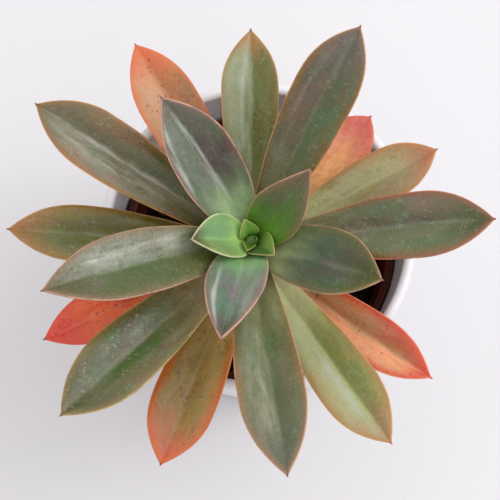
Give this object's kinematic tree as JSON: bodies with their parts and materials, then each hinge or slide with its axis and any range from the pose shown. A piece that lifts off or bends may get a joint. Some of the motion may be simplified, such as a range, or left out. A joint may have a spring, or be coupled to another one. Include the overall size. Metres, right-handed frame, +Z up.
{
  "type": "potted succulent",
  "caption": "Rosette succulent with fleshy, folded, pointed leaves on a short stem, growing in soil in a plastic nursery pot inside a plain tapered cover pot.",
  "frame": {"origin": "centre of the cover pot's flat base, on the surface that it stands on", "axes": "+Z up, along the pots' axis; -Y is the front, the side nearest to the viewer; +X is to the right"},
  "size_m": [0.1722, 0.1648, 0.1811],
  "materials": {
    "cover_glaze": "white satin glaze",
    "nursery_plastic": "dull brown moulded plastic",
    "potting_soil": "dark crumbly potting soil",
    "stem_skin": "dull brown-green bark with leaf scars",
    "leaf_young": "waxy mint-green skin",
    "leaf_green": "waxy green skin with a tan edge",
    "leaf_grey": "waxy grey-green skin with a pink edge",
    "leaf_olive": "waxy olive skin with a tan edge",
    "leaf_orange": "waxy orange skin with red freckles",
    "leaf_red": "waxy red skin with dark freckles",
    "leaf_withered": "dry, wrinkled mauve-brown skin"
  },
  "bodies": {
    "root": {"cover_pot": "cover_glaze", "nursery_pot": "nursery_plastic", "soil": "potting_soil", "stem": "stem_skin", "leaf_01": "leaf_young", "leaf_02": "leaf_young", "leaf_03": "leaf_young", "leaf_04": "leaf_young", "leaf_05": "leaf_young", "leaf_06": "leaf_green", "leaf_07": "leaf_grey", "leaf_08": "leaf_grey", "leaf_09": "leaf_grey", "leaf_10": "leaf_grey", "leaf_11": "leaf_grey", "leaf_12": "leaf_green", "leaf_13": "leaf_green", "leaf_14": "leaf_grey", "leaf_15": "leaf_green", "leaf_16": "leaf_green", "leaf_17": "leaf_green", "leaf_18": "leaf_olive", "leaf_19": "leaf_olive", "leaf_20": "leaf_olive", "leaf_21": "leaf_orange", "leaf_22": "leaf_orange", "leaf_23": "leaf_red", "leaf_24": "leaf_red", "dry_leaf": "leaf_withered"}
  },
  "joints": []
}
